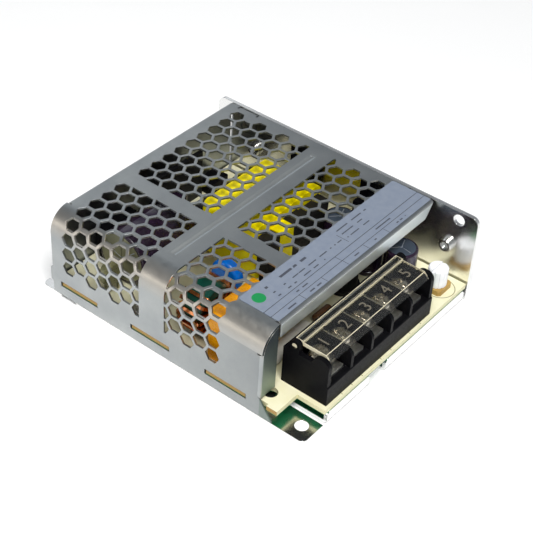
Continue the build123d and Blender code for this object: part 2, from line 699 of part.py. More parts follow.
def board_outline():
    """Board outline with its wall tabs and front corner notch."""
    right = WALL_INSIDE - BOARD_RIGHT_GAP
    rear = COVER_BACK - COVER_SHEET - BOARD_REAR_GAP
    outline = rect(BOARD_LEFT, right, BOARD_FRONT, rear)
    outline += rect(BOARD_TAB_RECESS, right, BOARD_FRONT, BOARD_SHOULDER)
    for number in range(SLOT_COUNT):
        y0 = SLOT_START + number * SLOT_SPACING + BOARD_TAB_SLACK
        outline += rect(BOARD_TAB_RECESS, right, y0, y0 + SLOT_LENGTH - 2 * BOARD_TAB_SLACK)
    notch_right, notch_rear = BOARD_NOTCH
    return outline - rect(-1, notch_right, -1, notch_rear)


def pcb():
    """Printed circuit board with its fixing holes."""
    outline = board_outline() - Pos(*BOARD_HOLE) * Circle(BOARD_HOLE_RADIUS)
    outline -= [Pos(x, y) * Circle(SCREW_RADIUS + 2 * FIT) for x, y in STANDOFFS]
    outline -= [Pos(x, tail_place()) * Circle(TAIL_HOLE_RADIUS) for x in bays()]
    return along_z(outline, BOARD_BOTTOM, BOARD_TOP)


# Terminal block

def bays():
    """Middle of each wire bay."""
    return [BAY_START + POLE_PITCH * (number + 0.5) for number in range(POLES)]


def tail_place():
    """Distance of the contacts' tails from the case's front."""
    return CONTACT[2] - CONTACT_TAIL[1] / 2


def cheek_outline():
    """Side view of a cheek: front hump, low middle and hinge post."""
    hinge_y, hinge_z = HINGE_AT
    hump_rear, hump_top = CHEEK_HUMP
    front = BLOCK_FRONT + CHEEK_SETBACK
    low = rect(front, BLOCK_REAR, BOARD_TOP, BLOCK_TOP)
    hump = rect(front, hump_rear, BOARD_TOP, hump_top)
    hump = fillet([v for v in hump.vertices() if v.Y > BLOCK_TOP], CHEEK_ROUND)
    hinge = rect(hinge_y - POST_WIDTH / 2, hinge_y + POST_WIDTH / 2, BOARD_TOP, hinge_z)
    hinge += Pos(hinge_y, hinge_z) * Circle(POST_WIDTH / 2)
    return low + hump + hinge - Pos(hinge_y, hinge_z) * Circle(HINGE_PIN_RADIUS + FIT)


def partition_outline():
    """Side view of a partition, rounded at its front."""
    outline = rect(BLOCK_FRONT + PARTITION_SETBACK, BLOCK_REAR - BACK_WALL + BEYOND, BOARD_TOP, BLOCK_TOP)
    return fillet([v for v in outline.vertices() if v.X < 2 and v.Y > BLOCK_FLOOR], PARTITION_ROUND)


def terminal_housing():
    """Moulded block with a cheek at each end and a partition between bays."""
    housing = block(BLOCK_LEFT, BLOCK_RIGHT, BLOCK_FRONT, BLOCK_REAR, BOARD_TOP, BLOCK_FLOOR)
    housing = fillet(edges_at(housing, Axis.X, y=BLOCK_FRONT, z=BLOCK_FLOOR), BLOCK_EDGE)
    housing += block(BLOCK_LEFT, BLOCK_RIGHT, BLOCK_REAR - BACK_WALL, BLOCK_REAR, BOARD_TOP, BLOCK_TOP)
    for x in (BLOCK_LEFT, BLOCK_RIGHT - CHEEK):
        housing += along_x(cheek_outline(), x, x + CHEEK)
    for number in range(1, POLES):
        x = BAY_START + number * POLE_PITCH
        housing += along_x(partition_outline(), x - PARTITION / 2, x + PARTITION / 2)
    width, thickness = CONTACT_TAIL[0] + 2 * PLAY, CONTACT_TAIL[1] + 2 * PLAY
    for x in bays():
        housing -= post(x, TERMINAL_SCREW_AT, BLOCK_FLOOR - SCREW_WELL, BLOCK_FLOOR + BEYOND,
                        TERMINAL_SCREW_RADIUS + 4 * FIT)
        housing -= block(x - width / 2, x + width / 2, tail_place() - thickness / 2,
                         tail_place() + thickness / 2, BOARD_TOP - 1, BLOCK_FLOOR + 1)
    return housing


def terminal_contact(x):
    """Tinned contact plate with its solder tail."""
    width, front, rear = CONTACT
    plate = block(x - width / 2, x + width / 2, front, rear, BLOCK_FLOOR, CONTACT_TOP)
    plate = fillet([e for e in plate.edges().filter_by(Axis.Z) if e.center().Y < front + 1], CONTACT_CORNER)
    tail_width, thickness, reach = CONTACT_TAIL
    plate += block(x - tail_width / 2, x + tail_width / 2, rear - thickness, rear,
                   BOARD_BOTTOM - reach, BLOCK_FLOOR)
    return plate - post(x, TERMINAL_SCREW_AT, BLOCK_FLOOR - 1, CONTACT_TOP + 1, TERMINAL_SCREW_RADIUS + FIT)


def terminal_clamp(x):
    """Square clamp plate that lies under the screw head."""
    width, depth, thickness = CLAMP
    y = TERMINAL_SCREW_AT
    plate = block(x - width / 2, x + width / 2, y - depth / 2, y + depth / 2, CLAMP_BOTTOM, HEAD_BOTTOM)
    plate = chamfer(plate.edges().filter_by(Axis.Z), CLAMP_CORNER)
    plate = fillet(plate.edges().group_by(Axis.Z)[-1], CLAMP_EDGE)
    return plate - post(x, y, CLAMP_BOTTOM - 1, HEAD_BOTTOM + 1, TERMINAL_SCREW_RADIUS + 2 * FIT)


def terminal_screw(x):
    """Pan head terminal screw."""
    radius, height = TERMINAL_HEAD
    y = TERMINAL_SCREW_AT
    bottom = HEAD_BOTTOM + FIT
    head = post(x, y, bottom, bottom + height, radius)
    head = fillet(head.edges().group_by(Axis.Z)[-1], height * HEAD_ROUND)
    shank = post(x, y, bottom - TERMINAL_SCREW_LENGTH, bottom, TERMINAL_SCREW_RADIUS)
    shank = chamfer(shank.edges().group_by(Axis.Z)[0], EDGE_BREAK)
    width, depth = TERMINAL_SLOT
    slot = block(x - radius, x + radius, y - width / 2, y + width / 2, bottom + height - depth,
                 bottom + height + BEYOND)
    return head + shank - [drive(x, y, bottom + height, TERMINAL_DRIVE), slot]


def terminal_cover():
    """Clear flap over the screws, with its two hinge pins."""
    hinge_y, hinge_z = HINGE_AT
    under = FLAP_TOP - FLAP_THICKNESS
    strip_reach, strip_rise = FLAP_STRIP
    rear = hinge_y + FLAP_REAR
    lean = FLAP_THICKNESS * math.tan(math.radians(22.5))
    outline = Polygon((FLAP_FRONT, FLAP_TOP - FLAP_SLOPE), (FLAP_FRONT + FLAP_SLOPE, FLAP_TOP),
                      (hinge_y - strip_reach, FLAP_TOP), (hinge_y - strip_reach, FLAP_TOP + strip_rise),
                      (rear, FLAP_TOP + strip_rise), (rear, under), (FLAP_FRONT + FLAP_SLOPE + lean, under),
                      (FLAP_FRONT + FLAP_THICKNESS * math.sqrt(0.5),
                       FLAP_TOP - FLAP_SLOPE - FLAP_THICKNESS * math.sqrt(0.5)), align=None)
    outline += Pos(hinge_y, hinge_z) * Circle(HINGE_BARREL_RADIUS)
    left = BLOCK_LEFT + CHEEK + FLAP_CLEARANCE
    right = BLOCK_RIGHT - CHEEK - FLAP_CLEARANCE
    flap = along_x(outline, left, right)
    flap += cross_bar(BLOCK_LEFT, BLOCK_RIGHT, hinge_y, hinge_z, HINGE_PIN_RADIUS)
    rib_width, rib_depth = FLAP_RIB
    for number in range(1, POLES):
        x = BAY_START + number * POLE_PITCH
        flap += block(x - rib_width / 2, x + rib_width / 2, FLAP_FRONT + FLAP_SLOPE + lean,
                      hinge_y - HINGE_BARREL_RADIUS, under - rib_depth, under)
    return flap


# Trimmer and lamp

def trimmer_base():
    """Base with the spindle that the knob turns on."""
    x, y = TRIMMER_AT
    side, height = TRIMMER_BASE
    radius, reach = TRIMMER_SHAFT
    base = block(x - side / 2, x + side / 2, y - side / 2, y + side / 2, BOARD_TOP, BOARD_TOP + height)
    base = chamfer(base.edges().filter_by(Axis.Z), TRIMMER_CORNER)
    return base + post(x, y, BOARD_TOP + height, BOARD_TOP + height + reach, radius)


def trimmer_knob():
    """Fluted knob with a screwdriver slot."""
    x, y = TRIMMER_AT
    radius, reach = TRIMMER_SHAFT
    bottom = BOARD_TOP + TRIMMER_BASE[1] + KNOB_GAP
    top = bottom + KNOB_HEIGHT
    knob = chamfer(post(x, y, bottom, top, KNOB_RADIUS).edges().group_by(Axis.Z)[-1], EDGE_BREAK)
    knob -= post(x, y, bottom - 1, top - KNOB_ROOF, radius + FIT)
    width, depth = KNOB_SLOT
    knob -= block(x - KNOB_RADIUS, x + KNOB_RADIUS, y - width / 2, y + width / 2, top - depth, top + 1)
    for number in range(KNOB_FLUTES):
        turn = 2 * math.pi * (number + 0.5) / KNOB_FLUTES
        knob -= post(x + KNOB_RADIUS * math.cos(turn), y + KNOB_RADIUS * math.sin(turn), bottom - 1, top + 1,
                     KNOB_FLUTE_RADIUS)
    return knob


def leads(x, y, spacing, z1):
    """Two square wire legs between the board and a raised part."""
    legs = []
    for side in (-1, 1):
        centre = x + side * spacing
        legs.append(block(centre - LEAD / 2, centre + LEAD / 2, y - LEAD / 2, y + LEAD / 2, BOARD_TOP, z1))
    return legs


def status_led():
    """Round lamp on two legs."""
    x, y = from_right(LAMP_PLACE)
    bottom = BOARD_TOP + LAMP_RAISE
    flange_radius, flange_height = LAMP_FLANGE
    lamp = post(x, y, bottom, bottom + LAMP_LENGTH - LAMP_RADIUS, LAMP_RADIUS)
    lamp += Pos(x, y, bottom + LAMP_LENGTH - LAMP_RADIUS) * Sphere(LAMP_RADIUS)
    lamp += post(x, y, bottom, bottom + flange_height, flange_radius)
    return lamp + leads(x, y, LEAD_SPACING, bottom + flange_height / 2)


# Capacitors and other parts on the board

def can(radius, height):
    """Aluminium can standing on its base, with a rolled groove and a scored top."""
    body = Cylinder(radius, height, align=(Align.CENTER, Align.CENTER, Align.MIN))
    body = fillet(body.edges(), CAN_ROLL)
    body -= Pos(0, 0, radius * CAN_GROOVE_AT) * Torus(radius + CAN_GROOVE, CAN_GROOVE * 2)
    share, width, depth = CAN_SCORE
    score = Box(radius * share, width, depth * 2) + Box(width, radius * share, depth * 2)
    return body - Pos(0, 0, height) * score


def output_capacitors():
    """Row of upright cans beside the terminal block, front one first."""
    x, y = from_right(OUTPUT_CAP_PLACE)
    places = [y + number * OUTPUT_CAP_SPACING for number in range(OUTPUT_CAP_COUNT)]
    return [Pos(x, place, BOARD_TOP) * can(*OUTPUT_CAP) for place in places]


def output_inductor():
    """Drum of ferrite with its winding in the waist."""
    x, y = from_right(INDUCTOR_PLACE)
    radius, height = INDUCTOR
    waist, flange = INDUCTOR_WAIST
    drum = post(x, y, BOARD_TOP, BOARD_TOP + height, radius)
    ring = post(x, y, BOARD_TOP + flange, BOARD_TOP + height - flange, radius + 1)
    ring -= post(x, y, BOARD_TOP, BOARD_TOP + height, (radius + waist) / 2)
    return drum - ring


def fuse():
    """Cartridge fuse lying across the board on its end caps."""
    x, y = from_right(FUSE_PLACE)
    radius, length = FUSE
    z = BOARD_TOP + radius
    barrel = cross_bar(x - length / 2, x + length / 2, y, z, radius - FUSE_STEP)
    for x0 in (x - length / 2, x + length / 2 - FUSE_CAP):
        barrel += cross_bar(x0, x0 + FUSE_CAP, y, z, radius)
        barrel += block(x0, x0 + FUSE_CAP, y - radius / 2, y + radius / 2, BOARD_TOP, z)
    return barrel


def boxed(x, y, size, edge):
    """Moulded box seated on the board, its front left corner at x and y."""
    width, depth, height = size
    box = block(x, x + width, y, y + depth, BOARD_TOP, BOARD_TOP + height)
    rounded = box.edges().filter_by(Axis.Z) + box.edges().group_by(Axis.Z)[-1]
    return fillet(rounded, edge)


def disc(x, y, size, raise_by, turn=0):
    """Dipped disc standing on two legs, flat to the front or turned about its upright axis."""
    radius, thickness = size
    body = extrude(Plane.XZ * Circle(radius), amount=thickness / 2, both=True)
    body = fillet(body.edges(), thickness * DISC_ROUND)
    raised = Pos(0, 0, BOARD_TOP + raise_by + radius) * body
    legs = leads(0, 0, radius * DISC_LEGS, BOARD_TOP + raise_by + radius / 2)
    return Pos(x, y, 0) * Rot(0, 0, turn) * (raised + legs)


def choke_middle():
    """Middle of the upright choke, its axis running from front to rear."""
    x, y = CHOKE_AT
    return Pos(x, y, BOARD_TOP + CHOKE_RAISE + CHOKE_RING[0]) * Rot(90, 0, 0)


def choke_core():
    """Ferrite ring standing on a low plastic foot."""
    outer, inner, thickness = CHOKE_RING
    ring = Cylinder(outer, thickness) - Cylinder(inner, thickness + 2)
    ring = choke_middle() * chamfer(ring.edges().filter_by(GeomType.CIRCLE), EDGE_BREAK)
    x, y = CHOKE_AT
    width, depth = CHOKE_FOOT
    seat = outer - math.sqrt(outer ** 2 - (width / 2) ** 2)
    foot = block(x - width / 2, x + width / 2, y - depth / 2, y + depth / 2, BOARD_TOP,
                 BOARD_TOP + CHOKE_RAISE + seat)
    return ring + foot


def choke_turn(angle):
    """One turn of wire round the ring, drawn as a square loop with round corners."""
    outer, inner, thickness = CHOKE_RING
    wall = outer - inner
    loop = RectangleRounded(wall + 2 * (FIT + CHOKE_WIRE), thickness + 2 * (FIT + CHOKE_WIRE), CHOKE_WIRE)
    loop -= Rectangle(wall + 2 * FIT, thickness + 2 * FIT)
    plane = Plane(origin=((outer + inner) / 2, -CHOKE_WIRE / 2, 0), x_dir=(1, 0, 0), z_dir=(0, 1, 0))
    turn = extrude(plane * loop, amount=CHOKE_WIRE)
    return choke_middle() * Rot(0, 0, angle) * turn


def choke_windings():
    """Two windings of thick copper wire, one on each side of the ring."""
    turns = []
    for side in (0, 180):
        for number in range(CHOKE_TURNS):
            turns.append(choke_turn(side + (number - (CHOKE_TURNS - 1) / 2) * CHOKE_STEP))
    return turns


def core_span(axis):
    """Low and high side of the transformer's core across (0) or along (1)."""
    return CORE_AT[axis], CORE_AT[axis] + CORE[axis]


def core_heights():
    """Underside and top of the transformer's core."""
    return BOARD_TOP + CORE_RAISE, BOARD_TOP + CORE_RAISE + CORE[2]


def core_legs():
    """Left and right side of each leg of the core."""
    x0, x1 = core_span(0)
    middle = (x0 + x1) / 2
    return [(x0, x0 + CORE_LEG), (middle - CORE_LEG, middle + CORE_LEG), (x1 - CORE_LEG, x1)]


def transformer_core():
    """Closed ferrite core, two back bars joined by three legs."""
    z0, z1 = core_heights()
    y0, y1 = core_span(1)
    frame = chamfer(block(*core_span(0), y0, y1, z0, z1).edges(), EDGE_BREAK)
    legs = core_legs()
    for here, after in zip(legs, legs[1:]):
        frame -= block(here[1], after[0], y0 + CORE_LEG, y1 - CORE_LEG, z0 - 1, z1 + 1)
    return frame


def transformer_winding():
    """Taped winding round the core's legs, standing above and below the core."""
    x0, x1 = core_span(0)
    y0, y1 = core_span(1)
    z0, z1 = core_heights()
    beside, above = WINDING_OVER
    outline = rect(x0 - beside, x1 + beside, z0 - above, z1 + above)
    outline = fillet(outline.vertices(), WINDING_CORNER)
    outline -= [rect(a - PLAY, b + PLAY, z0 - PLAY, z1 + PLAY) for a, b in core_legs()]
    return along_y(outline, y0 + CORE_LEG + WINDING_GAP, y1 - CORE_LEG - WINDING_GAP)


def transformer_bobbin():
    """Pin rails of the bobbin, under each back bar, with their pins."""
    x0, x1 = core_span(0)
    y0, y1 = core_span(1)
    width, height = BOBBIN_RAIL
    top = core_heights()[0]
    rails = []
    for a in (y0, y1 - width):
        rail = block(x0, x1, a, a + width, top - height, top)
        for number in range(BOBBIN_PINS):
            x = x0 + (number + 0.5) * (x1 - x0) / BOBBIN_PINS
            middle = a + width / 2
            rail += block(x - LEAD / 2, x + LEAD / 2, middle - LEAD / 2, middle + LEAD / 2, BOARD_TOP, top)
        rails.append(rail)
    return rails


def transformer_tape():
    """Yellow tape laid over the core's front bar, between two legs."""
    y0, y1 = CORE_AT[1] - FIT, CORE_AT[1] + CORE_LEG + FIT
    z0, z1 = core_heights()
    outer = rect(y0 - TAPE, y1 + TAPE, z0, z1 + FIT + TAPE)
    outer = fillet([v for v in outer.vertices() if v.Y > z1], TAPE)
    inner = rect(y0, y1, z0 - 1, z1 + FIT)
    legs = core_legs()
    return along_x(outer - inner, legs[0][1] + TAPE_START, legs[1][0])


def bulk_capacitor():
    """Large can lying from left to right, its vented end to the left."""
    x, y = from_rear(BULK_CAP_PLACE)
    radius, length = BULK_CAP
    return Pos(x + length, y, BOARD_TOP + radius) * Rot(0, -90, 0) * can(radius, length)


def auxiliary_capacitor():
    """Small upright can."""
    return Pos(*from_rear(AUX_CAP_PLACE), BOARD_TOP) * can(*AUX_CAP)


def film_capacitors():
    """Small dipped film capacitors."""
    return [boxed(*from_rear(place), FILM_CAP, FILM_CAP_EDGE) for place in FILM_CAP_PLACES]


def resistor(x, y):
    """Axial resistor lying on the board."""
    radius, length = RESISTOR
    body = cross_bar(x - length / 2, x + length / 2, y, BOARD_TOP + radius, radius)
    return fillet(body.edges(), radius * HEAD_ROUND)


def transistor(y):
    """Power device flat against the right wall, its legs down to the board."""
    width, height, thickness = TRANSISTOR
    tab, bare = TRANSISTOR_TAB
    z0 = BOARD_TOP + TRANSISTOR_RAISE
    device = block(WALL_INSIDE - tab, WALL_INSIDE, y, y + width, z0, z0 + height)
    hole = cross_bar(WALL_INSIDE - tab - 1, WALL_INSIDE + 1, y + width / 2, z0 + height - bare / 2, bare / 4)
    device -= hole
    device += block(WALL_INSIDE - thickness, WALL_INSIDE, y, y + width, z0, z0 + height - bare)
    for number in (-1, 0, 1):
        middle = y + width / 2 + number * LEG_PITCH
        x = WALL_INSIDE - thickness / 2
        device += block(x - LEAD / 2, x + LEAD / 2, middle - LEAD / 2, middle + LEAD / 2, BOARD_TOP, z0)
    return device


def all_pieces():
    """Every node's name and its shape."""
    pieces = {
        "base_chassis": base_chassis(),
        "cover": cover(),
        "rating_label": rating_label(),
        "insulation_sheet": insulation_sheet(),
        "pcb": pcb(),
        "side_bosses": [side_boss(y) for y in boss_places()],
        "cover_screws": [cover_screw(y) for y in side_tab_places()],
        "board_standoffs": [standoff(x, y) for x, y in STANDOFFS],
        "board_screws": [board_screw(x, y) for x, y in STANDOFFS],
        "terminal_housing": terminal_housing(),
        "terminal_contacts": [terminal_contact(x) for x in bays()],
        "terminal_cover": terminal_cover(),
        "trimmer_base": trimmer_base(),
        "trimmer_knob": trimmer_knob(),
        "status_led": status_led(),
        "output_capacitors": output_capacitors(),
        "output_inductor": output_inductor(),
        "fuse": fuse(),
        "x_capacitor": boxed(*X_CAP_AT, X_CAP, X_CAP_EDGE),
        "varistor": disc(*VARISTOR_AT, VARISTOR, DISC_RAISE),
        "y_capacitor": disc(*Y_CAP_AT, Y_CAP, Y_CAP_RAISE, turn=90),
        "thermistor": disc(*from_rear(THERMISTOR_PLACE), THERMISTOR, DISC_RAISE),
        "choke_core": choke_core(),
        "choke_windings": choke_windings(),
        "transformer_core": transformer_core(),
        "transformer_winding": transformer_winding(),
        "transformer_bobbin": transformer_bobbin(),
        "transformer_tape": transformer_tape(),
        "bulk_capacitor": bulk_capacitor(),
        "bridge_rectifier": boxed(*from_rear(BRIDGE_PLACE), BRIDGE, MOULD_EDGE),
        "heatsink": boxed(*from_rear(HEATSINK_PLACE), HEATSINK, MOULD_EDGE),
        "film_capacitors": film_capacitors(),
        "auxiliary_capacitor": auxiliary_capacitor(),
        "control_chip": boxed(*from_rear(CHIP_PLACE), CHIP, MOULD_EDGE),
        "optocoupler": boxed(*COUPLER_AT, COUPLER, MOULD_EDGE),
        "resistors": [resistor(*from_right(place)) for place in RESISTOR_PLACES],
    }
    for number, x in enumerate(bays(), start=1):
        pieces[f"terminal_screw_{number}"] = terminal_screw(x)
        pieces[f"terminal_clamp_{number}"] = terminal_clamp(x)
    for name, y in TRANSISTOR_PLACES.items():
        pieces[name] = transistor(y)
    return pieces


os.makedirs("parts", exist_ok=True)
for name, shape in all_pieces().items():
    save(name, shape)
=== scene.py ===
import json
import math

import bmesh
import bpy
from mathutils import Matrix, Vector


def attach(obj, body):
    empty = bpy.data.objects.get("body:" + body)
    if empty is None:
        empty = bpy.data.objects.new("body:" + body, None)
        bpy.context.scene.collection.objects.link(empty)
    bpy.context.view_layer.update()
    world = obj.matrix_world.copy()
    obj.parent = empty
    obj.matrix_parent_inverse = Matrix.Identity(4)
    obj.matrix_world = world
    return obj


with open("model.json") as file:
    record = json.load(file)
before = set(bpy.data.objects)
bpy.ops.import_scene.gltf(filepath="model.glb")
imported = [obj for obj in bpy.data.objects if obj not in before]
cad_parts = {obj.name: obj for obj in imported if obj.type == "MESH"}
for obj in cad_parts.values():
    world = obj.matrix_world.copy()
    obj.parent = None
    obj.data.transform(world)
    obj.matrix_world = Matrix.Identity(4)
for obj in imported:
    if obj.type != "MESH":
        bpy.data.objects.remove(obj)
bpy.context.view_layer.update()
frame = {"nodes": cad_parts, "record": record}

nodes = frame["nodes"]
slots = {row["node"]: row["material_slot"] for row in frame["record"]["subparts"]}
MM = 0.001


# Places, in millimetres from the case's left front corner

def span_of(name, axis):
    """Lowest and highest value of a node along an axis of the frame, in millimetres."""
    values = [(nodes[name].matrix_world @ vertex.co)[axis] / MM for vertex in nodes[name].data.vertices]
    return round(min(values), 3), round(max(values), 3)


HALF_WIDTH = span_of("base_chassis", 0)[1]
HALF_LENGTH = span_of("base_chassis", 1)[1]


def place(x, y, z):
    """A point of the part's frame, in metres."""
    return Vector(((x - HALF_WIDTH) * MM, (y - HALF_LENGTH) * MM, z * MM))


ROOF_TOP = span_of("cover", 2)[1]
ROLL = 7.0                              # radius of the bend from the roof into the left wall
ROLL_REFLECTION_ACROSS = (5.6, 2.5)                # where the painted warm reflection on it fades in, seen from above
ROLL_REFLECTION_DOWN = (ROOF_TOP - 8.5, ROOF_TOP - 3.5)
COVER_FACE = 15.43                      # just behind the front of the cover's flanges
WALL_FACE = 0.02                        # just inside the left wall's outer face
WALL_PAINTED_SHADE = (60.0, 16.0)               # painted shade on the left wall, growing from here towards the front
FLANGE_REFLECTION = (12.0, 27.0)             # the painted reflection on the folded-in flange darkens between these heights
BEAD_ENDS = (10.0, 74.0)
BEAD_LINE, BEAD_HALF = 55.8, 1.4
# line of the painted highlight along one edge of the bead, and its half width
BEAD_HIGHLIGHT, HIGHLIGHT_HALF = 55.05, 0.35
ROOF_SKIN = 0.5

BOARD_UNDER, BOARD_TOP = span_of("pcb", 2)
BOARD_SKIN, SOLDER_SKIN = 0.02, 0.12    # depth of the printed face and of the solder face
# left of this the board's edge is painted in shade, where its tabs sit in the wall slots
TAB_END = 0.35
TRIMMER_RING = (73.4, 5.2)
RING_RADIUS, RING_HALF = 4.6, 0.14
TICKS = (17.5, 22.2, 27.0, 36.0, 41.0, 50.4, 56.0)
BOARD_MARKS = ((77.2, 78.8, 6.6, 6.9), (77.2, 78.8, 7.6, 7.9), (8.6, 10.2, 19.6, 19.85))

LABEL_LINES = ((7.0, 80.5, 21.26, 21.46), (7.0, 80.5, 18.75, 18.93), (38.93, 39.09, 18.8, 21.4),
               (47.12, 47.28, 22.5, 26.9))
LABEL_COLUMNS = (19.5, 29.3, 39.1, 48.75, 58.65)
COLUMN_ENDS, COLUMN_HALF = (16.2, 18.8), 0.08
LABEL_BARS = ((15.4, 33.4, 26.35, 28.2), (15.5, 22.0, 24.0, 25.0), (24.0, 46.5, 24.1, 25.0),
              (15.5, 23.5, 22.2, 23.2), (25.5, 36.5, 22.3, 23.2), (48.6, 63.0, 27.4, 28.4),
              (48.6, 58.4, 25.5, 26.4), (48.6, 59.2, 23.5, 24.4), (20.0, 25.9, 19.6, 20.6),
              (56.0, 64.2, 19.6, 20.6), (12.3, 16.4, 16.9, 18.0), (21.8, 27.6, 16.9, 18.0),
              (43.1, 45.2, 17.0, 18.0), (52.4, 54.6, 17.0, 18.0), (63.5, 69.0, 16.9, 17.9))
BAR_MARGIN = 0.28                       # share of a bar's height that stays bare, above and below
SPOT, SPOT_RADIUS = (11.3, 26.1), 2.0

CAN_MIDDLE, CAN_FIRST, CAN_PITCH = 66.8, 16.3, 11.2
CAN_RIM_HEIGHT, CAN_BARE = 13.0, 4.2
BULK_MIDDLE, BULK_HEIGHT, BULK_RIM, BULK_BARE = 77.5, 15.4, 12.7, 7.9
CUT_TURNS, CUT_START, CUT_HALF = (0.0, 120.0, 240.0), 20.0, 0.14

FLAP_RIBS = ((13.7, 14.5), (11.32, 11.5), (3.7, 3.9))
FLAP_ENDS, FLAP_SKIN = (12.85, 59.55), 20.9

DIGITS, DIGIT_PLACES = "12345", (16.6, 26.2, 35.9, 45.5, 55.2)
DIGIT_LINE, DIGIT_SIZE, DIGIT_HEIGHT, DIGIT_RAISE = 7.8, 4.0, 22.02, 0.05
FONT_SHARE = 1.35                       # font size for a digit one unit tall

THREAD_PITCH = 0.5

# Beads of setting compound between the small parts: middle and radii of each
GLUE = (((47.9, 78.6, 7.6), (2.2, 2.6, 4.6)), ((57.4, 78.4, 7.6), (2.3, 2.4, 5.2)),
        ((67.0, 77.6, 7.4), (2.4, 3.2, 3.6)), ((36.6, 78.0, 7.4), (1.9, 3.6, 4.4)),
        ((44.2, 83.0, 7.2), (2.8, 1.8, 3.4)), ((33.6, 41.2, 7.2), (3.4, 2.2, 2.8)))


# Procedural materials

class Look:
    """A procedural material whose pattern lies in millimetres on the piece."""

    def __init__(self, name, colour, rough, metal=0.0, **settings):
        self.material = bpy.data.materials.new(name)
        self.material.use_nodes = True
        self.tree = self.material.node_tree
        self.shader = self.tree.nodes["Principled BSDF"]
        self.shader.inputs["Base Color"].default_value = (*colour, 1)
        self.shader.inputs["Roughness"].default_value = rough
        self.shader.inputs["Metallic"].default_value = metal
        for key, value in settings.items():
            self.shader.inputs[key.replace("_", " ")].default_value = value
        self.colour, self.rough = colour, rough
        self.local = self.new("ShaderNodeTexCoord").outputs["Object"]
        split = self.new("ShaderNodeSeparateXYZ")
        self.link(self.scaled((1, 1, 1)), split.inputs[0])
        self.x = self.math("ADD", split.outputs[0], HALF_WIDTH)
        self.y = self.math("ADD", split.outputs[1], HALF_LENGTH)
        self.z = split.outputs[2]
        self.normal = None

    def new(self, kind):
        return self.tree.nodes.new(kind)

    def link(self, source, socket):
        """Feed a socket from another node, or set it where the source is a plain value."""
        if isinstance(source, bpy.types.NodeSocket):
            self.tree.links.new(source, socket)
        else:
            socket.default_value = source

    def scaled(self, stretch):
        node = self.new("ShaderNodeMapping")
        self.link(self.local, node.inputs["Vector"])
        node.inputs["Scale"].default_value = [share / MM for share in stretch]
        return node.outputs[0]

    def math(self, kind, a, b=0.0):
        node = self.new("ShaderNodeMath")
        node.operation = kind
        self.link(a, node.inputs[0])
        self.link(b, node.inputs[1])
        return node.outputs[0]

    def times(self, first, *others):
        """Product of masks and shares."""
        for other in others:
            first = self.math("MULTIPLY", first, other)
        return first

    def rest(self, mask):
        """What a mask leaves."""
        return self.math("SUBTRACT", 1.0, mask)

    def below(self, value, limit):
        return self.math("LESS_THAN", value, limit)

    def above(self, value, limit):
        return self.math("GREATER_THAN", value, limit)

    def near(self, value, middle, half):
        """1 where the value lies within half of the middle."""
        node = self.new("ShaderNodeMath")
        node.operation = "COMPARE"
        self.link(value, node.inputs[0])
        node.inputs[1].default_value = middle
        node.inputs[2].default_value = half
        return node.outputs[0]

    def between(self, value, low, high):
        """1 where the value lies between low and high."""
        return self.near(value, (low + high) / 2, (high - low) / 2)

    def rect(self, x0, x1, y0, y1):
        return self.times(self.between(self.x, x0, x1), self.between(self.y, y0, y1))

    def length(self, u, v):
        return self.math("SQRT", self.math("ADD", self.times(u, u), self.times(v, v)))

    def radius(self, x, y):
        """Distance from an upright axis."""
        return self.length(self.math("SUBTRACT", self.x, x), self.math("SUBTRACT", self.y, y))

    def any_of(self, masks):
        total = masks[0]
        for mask in masks[1:]:
            total = self.math("MAXIMUM", total, mask)
        return total

    def noise(self, per_mm, detail=3.0, stretch=(1, 1, 1), distortion=0.0):
        node = self.new("ShaderNodeTexNoise")
        self.link(self.scaled(stretch), node.inputs["Vector"])
        node.inputs["Scale"].default_value = per_mm
        node.inputs["Detail"].default_value = detail
        node.inputs["Distortion"].default_value = distortion
        return node.outputs[0]

    def span(self, value, low, high):
        """Rise from 0 at low to 1 at high."""
        node = self.new("ShaderNodeMapRange")
        self.link(value, node.inputs[0])
        for index, number in enumerate((low, high, 0.0, 1.0), start=1):
            node.inputs[index].default_value = number
        return node.outputs[0]

    def mix(self, share, a, b):
        node = self.new("ShaderNodeMix")
        node.data_type = "RGBA"
        self.link(share, node.inputs[0])
        for value, socket in ((a, node.inputs[6]), (b, node.inputs[7])):
            self.link((*value, 1) if isinstance(value, tuple) else value, socket)
        return node.outputs[2]

    def tint(self, share, colour):
        """Lay a colour over what the base colour has so far."""
        socket = self.shader.inputs["Base Color"]
        under = socket.links[0].from_socket if socket.is_linked else self.colour
        self.link(self.mix(share, under, colour), socket)

    def mottle(self, per_mm, detail, colour, low=0.35, high=0.7):
        """Soft patches of a second colour."""
        self.tint(self.span(self.noise(per_mm, detail), low, high), colour)

    def roughen(self, share, rough):
        socket = self.shader.inputs["Roughness"]
        under = socket.links[0].from_socket if socket.is_linked else self.rough
        node = self.new("ShaderNodeMix")
        self.link(share, node.inputs[0])
        self.link(under, node.inputs[2])
        self.link(rough, node.inputs[3])
        self.link(node.outputs[0], socket)

    def dull(self, per_mm, detail, rough, low=0.3, high=0.7):
        """Soft patches that are rougher."""
        self.roughen(self.span(self.noise(per_mm, detail), low, high), rough)

    def bump(self, height, depth_mm, strength=1.0):
        node = self.new("ShaderNodeBump")
        node.inputs["Distance"].default_value = depth_mm * MM
        node.inputs["Strength"].default_value = strength
        self.link(height, node.inputs["Height"])
        if self.normal is not None:
            self.link(self.normal, node.inputs["Normal"])
        self.normal = node.outputs[0]
        self.link(self.normal, self.shader.inputs["Normal"])

    def soft_edges(self, radius_mm):
        node = self.new("ShaderNodeBevel")
        node.samples = 4
        node.inputs["Radius"].default_value = radius_mm * MM
        self.normal = node.outputs[0]
        self.link(self.normal, self.shader.inputs["Normal"])
        return self


